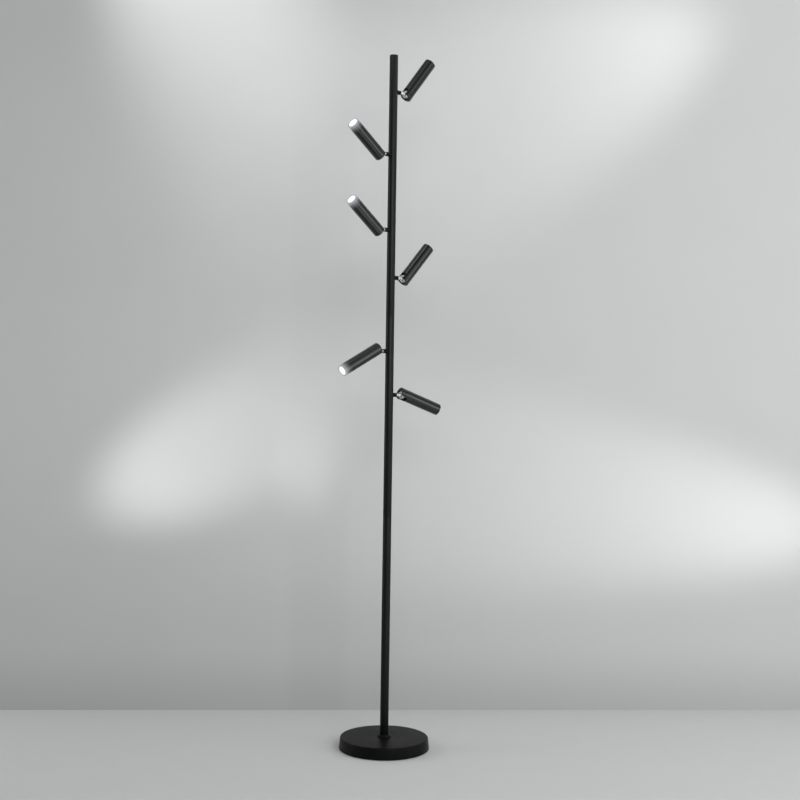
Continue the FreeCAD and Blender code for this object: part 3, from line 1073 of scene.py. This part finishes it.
@dataclass
class LampHead:
    """One arm and its head. Sizes are in millimetres, the fold and the turn in degrees.

    The head's own frame has its origin on the cross pin and +X along the tube, towards
    the light; the arm's has its origin on the pole's axis and +X along the stem. A cutter
    runs past the faces that it cuts by the size named past, and the slot's by slot_past.
    The cutter of the pin's hole has drill_half as half its length, and those of the pin's
    sockets are socket_throw long.
    """

    TUBE_RINGS = (0.6, 1.6, 6.0)
    SLOT_STEPS = 24
    SOCKET_SIDES = 6

    number: int
    side: int
    height: float
    fold: float
    turn: float
    stem_reach: float = 23.0
    stem_inner: float = 5.1
    pivot_reach: float = 44.0
    shank_radius: float = 2.5
    lip_radius: float = 3.6
    lip: float = 1.6
    face_gap: float = 0.1
    neck_radius: float = 4.0
    flare: float = 1.6
    flare_start: float = 2.5
    flare_end: float = 1.0
    flare_ease: float = 3.0
    core_end: float = 4.0
    knuckle_radius: float = 10.0
    knuckle_half: float = 9.0
    knuckle_ease: float = 6.0
    groove_half: float = 0.8
    groove_end: float = 33.0
    groove_low: float = -9.0
    groove_high: float = -1.1
    tube_radius: float = 15.5
    length: float = 126.0
    rear: float = -8.0
    axis_drop: float = -3.0
    rear_solid: float = 24.0
    wall: float = 1.2
    edge_ease: float = 0.22
    slot_radius: float = 10.5
    slot_past: float = 5.0
    slot_half: float = 9.3
    pin_radius: float = 2.0
    pin_fit: float = 0.05
    pin_press: float = 0.02
    pin_recess: float = 0.5
    drill_half: float = 20.0
    socket_radius: float = 1.15
    socket_depth: float = 1.4
    socket_throw: float = 4.0
    lens_fit: float = 0.05
    lens_setback: float = 0.2
    lens_depth: float = 16.0
    chip_half: float = 6.4
    chip_pocket: float = 1.4
    # how far back from the tube's front end its painted glow reaches
    painted_glow_reach: float = 26.0
    past: float = 3.0

    @property
    def has_painted_glow(self) -> bool:
        """Whether its tube gets a painted glow, as heads whose lit faces are seen do."""
        return self.side < 0

    @property
    def arm_frame(self) -> Matrix:
        """The arm's frame in the scene."""
        up = Matrix.Translation((0, 0, self.height * MM))
        facing = Matrix.Rotation(0 if self.side > 0 else math.pi, 4, "Z")
        return up @ facing @ Matrix.Rotation(math.radians(self.turn * self.side), 4, "X")

    @property
    def head_frame(self) -> Matrix:
        """The head's frame in the scene."""
        out = Matrix.Translation((self.pivot_reach * MM, 0, 0))
        return self.arm_frame @ out @ Matrix.Rotation(-math.radians(self.fold), 4, "Y")

    def build(self, room: FinishRoom) -> list[bpy.types.Object]:
        """Makes and dresses the arm, tube, pin and lens, and returns them."""
        arm = self._arm(room)
        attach(arm, f"arm_{self.number}")
        pieces = [self._tube(room), self._pin(room), self._lens(room)]
        for piece in pieces:
            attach(piece, f"head_{self.number}")
        return [arm, *pieces]

    def _arm(self, room: FinishRoom) -> bpy.types.Object:
        """Makes the bright arm: lip, shank, neck and bored knuckle, grooved for wires."""
        lip_end, neck = self.stem_inner - self.face_gap, self.stem_reach + self.face_gap
        reach, drum = self.pivot_reach, self.knuckle_radius
        arm = MeshShop.turned(f"arm_{self.number}", Profile([
            Corner(0, lip_end - self.lip), Corner(self.lip_radius, lip_end - self.lip, 0.4),
            Corner(self.lip_radius, lip_end, 0.2), Corner(self.shank_radius, lip_end),
            Corner(self.shank_radius, neck), Corner(self.neck_radius, neck, 0.3),
            Corner(self.neck_radius, reach - drum - self.flare_start, self.flare_ease),
            Corner(self.neck_radius + self.flare, reach - drum + self.flare_end),
            Corner(0, reach - self.core_end),
        ], steps=6), 64, Axis.X)
        half, ease = self.knuckle_half, self.knuckle_ease
        bore_radius = self.pin_radius + self.pin_fit
        knuckle = MeshShop.turned("knuckle", Profile([
            Corner(bore_radius, -half, 0.3), Corner(drum, -half, ease),
            Corner(drum, half, ease), Corner(bore_radius, half, 0.3),
        ], steps=12), 96, Axis.Y, (reach, 0, 0))
        MeshShop.combine(arm, [knuckle], "UNION")
        bore = MeshShop.rod("bore", bore_radius, (-half - self.past, half + self.past),
                            Axis.Y, (reach, 0, 0))
        near, end = -self.groove_half, self.groove_end
        groove = MeshShop.swept("groove", [
            Vector((0, near, self.groove_low)), Vector((end, near, self.groove_low)),
            Vector((end, near, self.groove_high)), Vector((0, near, self.groove_high)),
        ], Vector((0, 2 * self.groove_half, 0)))
        MeshShop.combine(arm, [bore, groove], "DIFFERENCE")
        MeshShop.seat(arm, self.arm_frame)
        room.dress(arm, Finish.NICKEL)
        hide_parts(f"swivel_arm_{self.number}")
        return arm

    def _tube(self, room: FinishRoom) -> bpy.types.Object:
        """Makes the tube: bored front, solid rear, one-sided slot and pin holes."""
        rear, front, drop = self.rear, self.rear + self.length, self.axis_drop
        bore = self.tube_radius - self.wall
        tube = MeshShop.turned(f"tube_{self.number}", Profile([
            Corner(0, rear), Corner(self.tube_radius, rear, 0.7),
            *[Corner(self.tube_radius, self.slot_radius + on) for on in self.TUBE_RINGS],
            Corner(self.tube_radius, front, 0.35), Corner(bore, front, 0.25),
            Corner(bore, rear + self.rear_solid), Corner(0, rear + self.rear_solid),
        ], steps=4), 128, Axis.X, (0, 0, drop))
        pin_hole = MeshShop.rod("pin_hole", self.pin_radius + self.pin_press,
                                (-self.drill_half, self.drill_half), Axis.Y)
        MeshShop.combine(tube, [self._slot_cutter(), pin_hole], "DIFFERENCE")
        MeshShop.ease_edges(tube, self.edge_ease)
        # Marks how the tube's painted glow fades back from its front end.
        if self.has_painted_glow:
            MeshShop.mark_lit_end(tube, lambda at: 1.0 - (front - at.x) / self.painted_glow_reach)
        MeshShop.seat(tube, self.head_frame)
        room.dress(tube, Finish.ANODISED)
        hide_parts(f"head_tube_{self.number}")
        return tube

    def _slot_cutter(self) -> bpy.types.Object:
        """Returns the cutter for the rear slot, round at its inner end."""
        rear, top = self.rear - self.slot_past, self.tube_radius + self.slot_past
        radius = self.slot_radius
        outline = [Vector((rear, -self.slot_half, -radius))]
        for step in range(self.SLOT_STEPS + 1):
            turn = math.radians(90 * step / self.SLOT_STEPS)
            outline.append(Vector((radius * math.sin(turn), -self.slot_half,
                                   -radius * math.cos(turn))))
        outline += [Vector((radius, -self.slot_half, top)), Vector((rear, -self.slot_half, top))]
        return MeshShop.swept("slot", outline, Vector((0, 2 * self.slot_half, 0)))

    def _pin(self, room: FinishRoom) -> bpy.types.Object:
        """Makes the cross pin, with a hexagon socket in each end."""
        half = math.sqrt(self.tube_radius ** 2 - self.axis_drop ** 2) - self.pin_recess
        radius = self.pin_radius
        pin = MeshShop.turned(f"pin_{self.number}", Profile([
            Corner(0, -half), Corner(radius, -half, 0.25),
            Corner(radius, half, 0.25), Corner(0, half),
        ], steps=3), 48, Axis.Y)
        sockets = []
        turns = [math.tau * k / self.SOCKET_SIDES for k in range(self.SOCKET_SIDES)]
        for end in (-1, 1):
            ring = [Vector((self.socket_radius * math.sin(turn),
                            end * (half - self.socket_depth),
                            self.socket_radius * math.cos(turn))) for turn in turns]
            out = Vector((0, end * self.socket_throw, 0))
            sockets.append(MeshShop.swept("socket", ring, out))
        MeshShop.combine(pin, sockets, "DIFFERENCE")
        MeshShop.seat(pin, self.head_frame)
        room.dress(pin, Finish.ANODISED)
        return pin

    def _lens(self, room: FinishRoom) -> bpy.types.Object:
        """Makes the frosted light guide, pocketed over the light source."""
        radius = self.tube_radius - self.wall - self.lens_fit
        front = self.rear + self.length - self.lens_setback
        back = self.rear + self.length - self.lens_depth
        lens = MeshShop.turned(f"lens_{self.number}", Profile([
            Corner(0, back), Corner(radius, back, 0.3), Corner(radius, front, 0.3),
            Corner(0, front),
        ], steps=3), 96, Axis.X, (0, 0, self.axis_drop))
        half, drop, start = self.chip_half, self.axis_drop, back - self.past
        pocket = MeshShop.swept("pocket", [
            Vector((start, -half, drop - half)), Vector((start, half, drop - half)),
            Vector((start, half, drop + half)), Vector((start, -half, drop + half)),
        ], Vector((self.past + self.chip_pocket, 0, 0)))
        MeshShop.combine(lens, [pocket], "DIFFERENCE")
        MeshShop.mark_lit_end(lens, lambda at: math.hypot(at.y, at.z - drop) / radius)
        MeshShop.seat(lens, self.head_frame)
        room.dress(lens, Finish.LENS)
        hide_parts(f"head_lens_{self.number}")
        return lens


@dataclass
class InnerParts:
    """Nodes that keep the frame's own shapes, with the finish of each."""

    finishes: dict[str, Finish] = field(default_factory=lambda: {
        "base_weight": Finish.IRON,
        "base_plate": Finish.ZINC,
        "base_pad": Finish.PAD,
        "led_driver": Finish.CASE,
        "foot_nut": Finish.ZINC,
        "pole_couplers": Finish.ZINC,
        "wiring_loom": Finish.SHEATH,
        "heat_sink": Finish.SINK,
        "led_board": Finish.BOARD,
    })

    def dress(self, room: FinishRoom, nodes: dict[str, bpy.types.Object]) -> list[str]:
        """Gives every carried-over node its finish, and returns their names."""
        dressed = []
        for name, node in nodes.items():
            kind = name.rstrip("0123456789").rstrip("_")
            if kind in self.finishes:
                room.redress(node, self.finishes[kind])
                dressed.append(name)
        return dressed


# ---- the studio ------------------------------------------------------------------
def hang(name: str, light: bpy.types.Light, start: Vector, target: Vector) -> None:
    """Hangs a light in the scene, out of the camera's sight.

    Args:
        name: the light's name.
        light: the light.
        start: where it hangs, in metres.
        target: the place that it faces, in metres.
    """
    made = bpy.data.objects.new(name, light)
    made.rotation_euler = (target - start).to_track_quat("-Z", "Y").to_euler()
    made.location = start
    made.visible_camera = False
    bpy.context.scene.collection.objects.link(made)


@dataclass(frozen=True)
class SoftBox:
    """A rectangular studio light. Lengths are in metres."""

    name: str
    place: tuple[float, float, float]
    target: tuple[float, float, float]
    size: tuple[float, float]
    power: float

    def build(self) -> None:
        """Adds the light to the scene, facing its target."""
        lamp = bpy.data.lights.new(self.name, "AREA")
        lamp.shape = "RECTANGLE"
        lamp.size, lamp.size_y = self.size
        lamp.energy = self.power
        hang(self.name, lamp, Vector(self.place), Vector(self.target))


@dataclass(frozen=True)
class WallPool:
    """A soft pool of light on the wall, given by pixels of the frame.

    SOFTNESS is the radius of its light, in metres.

    Attributes:
        name: its name.
        source: the pixel that its light hangs in front of, outside the frame.
        centre: the pixel that it points at.
        lift: how far in front of the wall its light hangs, in metres.
        power: its power, in watts.
        spread: the full angle of its cone, in degrees.
    """

    SOFTNESS = 0.06

    name: str
    source: tuple[float, float]
    centre: tuple[float, float]
    lift: float
    power: float
    spread: float

    def build(self, camera: Camera, wall: Vector, toward: Vector) -> None:
        """Adds the pool's light.

        Args:
            camera: the scene's camera.
            wall: a point of the wall.
            toward: the wall's normal, towards the lamp.
        """
        lamp = bpy.data.lights.new(self.name, "SPOT")
        lamp.energy = self.power
        lamp.spot_size = math.radians(self.spread)
        lamp.spot_blend = 1.0
        lamp.shadow_soft_size = self.SOFTNESS
        start = camera.on_plane(self.source, wall, toward) + toward * self.lift
        hang(self.name, lamp, start, camera.on_plane(self.centre, wall, toward))


@dataclass
class Camera:
    """The camera, placed as the photograph's was.

    Its places are in metres, its sensor is in millimetres, its frame and focal length are
    in pixels, and its angles are in degrees.
    """

    azimuth: float = 40.0
    distance: float = 3.24
    height: float = 0.905
    offset: float = 0.0287
    roll: float = 0.84
    focal_pixels: float = 1247.0
    frame_pixels: float = 800.0
    sensor: float = 36.0

    @property
    def look(self) -> Vector:
        """The level direction that the camera looks in."""
        turn = math.radians(self.azimuth)
        return Vector((math.sin(turn), math.cos(turn), 0.0))

    @property
    def right(self) -> Vector:
        """The level direction to the camera's right."""
        turn = math.radians(self.azimuth)
        return Vector((math.cos(turn), -math.sin(turn), 0.0))

    @property
    def place(self) -> Vector:
        """Where the camera stands."""
        back = -self.look * self.distance + self.right * self.offset
        return back + Vector((0.0, 0.0, self.height))

    def ahead(self, sideways: float, depth: float, height: float) -> Vector:
        """Returns a place by its distance to the right, its depth and its height."""
        flat = self.place + self.right * sideways + self.look * depth
        return Vector((flat.x, flat.y, height))

    def on_floor(self, column: float, row: float) -> Vector:
        """Returns the place on the floor that is seen at a pixel of the frame.

        Args:
            column: the pixel's column.
            row: the pixel's row, below the horizon.

        Returns:
            The place, at height 0.
        """
        return self.on_plane((column, row), Vector(), Vector((0.0, 0.0, 1.0)))

    def on_plane(self, pixel: tuple[float, float], point: Vector, normal: Vector) -> Vector:
        """Returns the place on a plane that is seen at a pixel of the frame.

        Args:
            pixel: the pixel's column and row.
            point: a point of the plane.
            normal: the plane's normal.

        Returns:
            The place.
        """
        turn = math.radians(self.roll)
        half = self.frame_pixels / 2
        across, down = pixel[0] - half, pixel[1] - half
        level_across = across * math.cos(turn) + down * math.sin(turn)
        level_down = down * math.cos(turn) - across * math.sin(turn)
        ray = (self.look * self.focal_pixels + self.right * level_across
               - Vector((0.0, 0.0, level_down)))
        return self.place + ray * ((point - self.place).dot(normal) / ray.dot(normal))

    def build(self) -> None:
        """Adds the camera and makes it the scene's own."""
        lens = bpy.data.cameras.new("camera")
        lens.sensor_width = self.sensor
        lens.lens = self.focal_pixels * self.sensor / self.frame_pixels
        made = bpy.data.objects.new("camera", lens)
        turn = math.radians(self.roll)
        up = Vector((0.0, 0.0, 1.0)) * math.cos(turn) - self.right * math.sin(turn)
        side = self.right * math.cos(turn) + Vector((0.0, 0.0, 1.0)) * math.sin(turn)
        axes = Matrix((side, up, -self.look)).transposed().to_4x4()
        made.matrix_world = Matrix.Translation(self.place) @ axes
        bpy.context.scene.collection.objects.link(made)
        bpy.context.scene.camera = made


@dataclass(frozen=True)
class Backdrop:
    """The paint of the floor or the wall.

    UNEVEN and SHADED are what its faint spots and its shaded foot keep of its colour.

    Attributes:
        name: its name.
        colour: its colour, linear.
        patch: size of its faint unevenness, per metre.
        shade_height: how far up from the floor it is shaded, in metres; 0 for none.
    """

    UNEVEN = 0.97
    SHADED = 0.85

    name: str
    colour: tuple[float, float, float]
    patch: float
    shade_height: float = 0.0

    def paint(self) -> Paint:
        """Builds the backdrop's material, which is clear from its back."""
        made = Paint(self.name).set(Roughness=0.85, Specular_IOR_Level=0.2)
        noise = add_node(made.tree, "ShaderNodeTexNoise")
        noise.inputs["Scale"].default_value = self.patch
        place = add_node(made.tree, "ShaderNodeTexCoord")
        made.tree.links.new(place.outputs["Object"], noise.inputs["Vector"])
        colour = made.blend(noise.outputs["Fac"], self.colour, self._toned(self.UNEVEN))
        if self.shade_height > 0:
            split = add_node(made.tree, "ShaderNodeSeparateXYZ")
            made.tree.links.new(place.outputs["Object"], split.inputs[0])
            low = eased_range(made.tree, split.outputs["Z"], (0.0, self.shade_height),
                              (1.0, 0.0))
            colour = made.blend(low, colour, self._toned(self.SHADED))
        made.feed(colour, "Base Color")
        self._clear_back(made)
        return made

    def _toned(self, factor: float) -> tuple[float, ...]:
        """Returns the colour times a factor."""
        return tuple(part * factor for part in self.colour)

    @staticmethod
    def _clear_back(paint: Paint) -> None:
        """Makes a surface clear where its back is seen, so that it hides nothing there."""
        facing = add_node(paint.tree, "ShaderNodeNewGeometry")
        clear = add_node(paint.tree, "ShaderNodeBsdfTransparent")
        either = add_node(paint.tree, "ShaderNodeMixShader")
        paint.tree.links.new(facing.outputs["Backfacing"], either.inputs[0])
        paint.tree.links.new(paint.shader.outputs[0], either.inputs[1])
        paint.tree.links.new(clear.outputs[0], either.inputs[2])
        paint.tree.links.new(either.outputs[0], paint.output.inputs["Surface"])


@dataclass
class Studio:
    """The pale floor and wall, the world and the lights.

    Reaches and heights are in metres, and wall_row is the row of the frame where the wall
    meets the floor. The world is dim, and pale where it is seen or mirrored; each span is
    the part of a direction over which its strength changes.
    """

    camera: Camera
    floor: Backdrop = Backdrop("floor", (0.595, 0.605, 0.6), 18.0)
    wall: Backdrop = Backdrop("wall", (0.529, 0.540, 0.535), 5.0, shade_height=0.2)
    wall_row: float = 710.0
    wall_reach: float = 9.0
    wall_height: float = 7.0
    floor_reach: float = 5.0
    dim: tuple[float, float] = (0.03, 0.10)
    dim_span: tuple[float, float] = (-0.8, 0.8)
    pale: tuple[float, float] = (0.42, 0.05)
    pale_span: tuple[float, float] = (0.12, 0.45)
    sky: tuple[float, float, float] = (0.98, 1.0, 1.0)
    pools: tuple[WallPool, ...] = (
        WallPool("pool_upper_left", (99.9, -340.6), (195.7, -60.0), 0.60, 68.1, 39.8),
        WallPool("pool_upper_right", (930.6, -60.0), (470.0, 115.7), 0.45, 53.6, 36.0),
        WallPool("pool_lower_left", (-132.7, 622.1), (202.2, 451.9), 0.60, 47.9, 23.4),
        WallPool("pool_lower_right", (1184.1, 575.3), (542.7, 496.6), 0.40, 166.7, 20.8),
        WallPool("pool_small_left", (300.0, 600.0), (310.0, 462.3), 0.30, 2.7, 28.3),
    )

    def build(self) -> None:
        """Adds everything round the lamp."""
        left = self.camera.on_floor(0.0, self.wall_row)
        right = self.camera.on_floor(self.camera.frame_pixels, self.wall_row)
        along = (right - left).normalized()
        middle = (left + right) / 2
        toward = Vector((-along.y, along.x, 0.0))
        toward = -toward if toward.dot(self.camera.look) > 0 else toward
        out, off = along * self.floor_reach, toward * self.floor_reach
        self._plane(self.floor, [middle - out + off, middle + out + off,
                                 middle + out - off, middle - out - off])
        out, up = along * self.wall_reach, Vector((0.0, 0.0, self.wall_height))
        self._plane(self.wall, [middle - out, middle + out, middle + out + up,
                                middle - out + up])
        self._world()
        for box in self._lights():
            box.build()
        for pool in self.pools:
            pool.build(self.camera, middle, toward)

    @staticmethod
    def _plane(backdrop: Backdrop, corners: Sequence[Vector]) -> None:
        """Adds one plain surface.

        Args:
            backdrop: its paint.
            corners: its four corners, in metres.
        """
        mesh = bmesh.new()
        mesh.faces.new([mesh.verts.new(corner) for corner in corners])
        made = MeshShop.linked(backdrop.name, mesh, smooth=False)
        made.data.materials.append(backdrop.paint().material)

    def _world(self) -> None:
        """Makes the world: dim, and pale towards the horizon where it is seen or mirrored."""
        world = bpy.data.worlds.new("studio")
        world.use_nodes = True
        tree = world.node_tree
        tree.nodes.clear()
        place = add_node(tree, "ShaderNodeTexCoord")
        across = add_node(tree, "ShaderNodeVectorMath", operation="DOT_PRODUCT")
        across.inputs[1].default_value = self.camera.right
        tree.links.new(place.outputs["Generated"], across.inputs[0])
        level = eased_range(tree, across.outputs["Value"], self.dim_span, self.dim)
        split = add_node(tree, "ShaderNodeSeparateXYZ")
        tree.links.new(place.outputs["Generated"], split.inputs[0])
        pale = eased_range(tree, split.outputs["Z"], self.pale_span, self.pale)
        rays = add_node(tree, "ShaderNodeLightPath")
        seen = rays.outputs["Is Camera Ray"]
        for kind in ("Is Glossy Ray", "Is Transmission Ray"):
            either = add_node(tree, "ShaderNodeMath", operation="MAXIMUM")
            tree.links.new(seen, either.inputs[0])
            tree.links.new(rays.outputs[kind], either.inputs[1])
            seen = either.outputs[0]
        shown = add_node(tree, "ShaderNodeMix", data_type="FLOAT")
        for source, name in ((seen, "Factor"), (level, "A"), (pale, "B")):
            tree.links.new(source, shown.inputs[name])
        light = add_node(tree, "ShaderNodeBackground")
        light.inputs["Color"].default_value = (*self.sky, 1.0)
        tree.links.new(shown.outputs[0], light.inputs["Strength"])
        output = add_node(tree, "ShaderNodeOutputWorld")
        tree.links.new(light.outputs[0], output.inputs["Surface"])
        bpy.context.scene.world = world

    def _lights(self) -> list[SoftBox]:
        """Returns the studio's lights."""
        ahead, aim = self.camera.ahead, tuple(self.camera.ahead(0.0, 3.3, 0.9))
        return [
            SoftBox("key", tuple(ahead(1.5, 0.2, 1.7)), aim, (1.2, 1.8), 44.0),
            SoftBox("front", tuple(ahead(0.2, -0.6, 2.3)), aim, (1.6, 1.2), 27.0),
            SoftBox("left", tuple(ahead(-3.0, 3.2, 1.5)), aim, (1.0, 2.4), 34.0),
            SoftBox("right_high", tuple(ahead(2.4, 1.6, 2.3)), aim, (1.6, 2.2), 12.0),
            SoftBox("right_low", tuple(ahead(2.4, 2.4, 0.9)), aim, (0.9, 1.7), 14.0),
            SoftBox("top", tuple(ahead(0.1, 2.6, 3.6)), aim, (2.4, 1.2), 8.0),
            SoftBox("top_right", tuple(ahead(2.0, 3.0, 3.2)), aim, (1.4, 1.2), 13.0),
            SoftBox("floor_bounce", tuple(ahead(0.5, 2.3, 0.03)), tuple(ahead(0.5, 2.3, 1.0)),
                    (1.0, 0.7), 4.0),
            SoftBox("overhead", tuple(ahead(-0.2, 3.05, 1.98)), tuple(ahead(0.0, 3.3, 1.2)),
                    (0.4, 0.25), 0.8),
        ]


# ---- assembly --------------------------------------------------------------------
def heads_of(joints: Sequence[dict]) -> list[LampHead]:
    """Reads where each head sits from the frame's fold joints.

    Args:
        joints: the frame's joints.

    Returns:
        The six heads, in order of their numbers.
    """
    heads = []
    for joint in joints:
        kind, _, number = joint["name"].partition("_")
        if kind != "fold":
            continue
        side = 1 if joint["pos_m"][0] > 0 else -1
        turn = math.degrees(math.atan2(-side * joint["axis"][2], -side * joint["axis"][1]))
        heads.append(LampHead(int(number), side, joint["pos_m"][2] / MM,
                              -joint["range_deg"][0], turn))
    return sorted(heads, key=lambda head: head.number)


def main() -> None:
    """Builds the lamp on its frame, with its studio, and reports each piece."""
    logging.basicConfig(level=logging.INFO, format="%(name)s: %(message)s")
    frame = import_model()
    room = FinishRoom()
    heads = heads_of(frame["joints"])

    pieces = Base().build(room)
    pieces += Pole().build(room, [(head.side, head.height) for head in heads])
    for head in heads:
        pieces += head.build(room)
    for piece in pieces:
        LOG.info("made %s, %d faces", piece.name, len(piece.data.polygons))
    for name in InnerParts().dress(room, frame["nodes"]):
        LOG.info("dressed %s", name)

    camera = Camera()
    camera.build()
    Studio(camera).build()
    bpy.context.scene.view_settings.view_transform = "Standard"


if __name__ == "__main__":
    main()
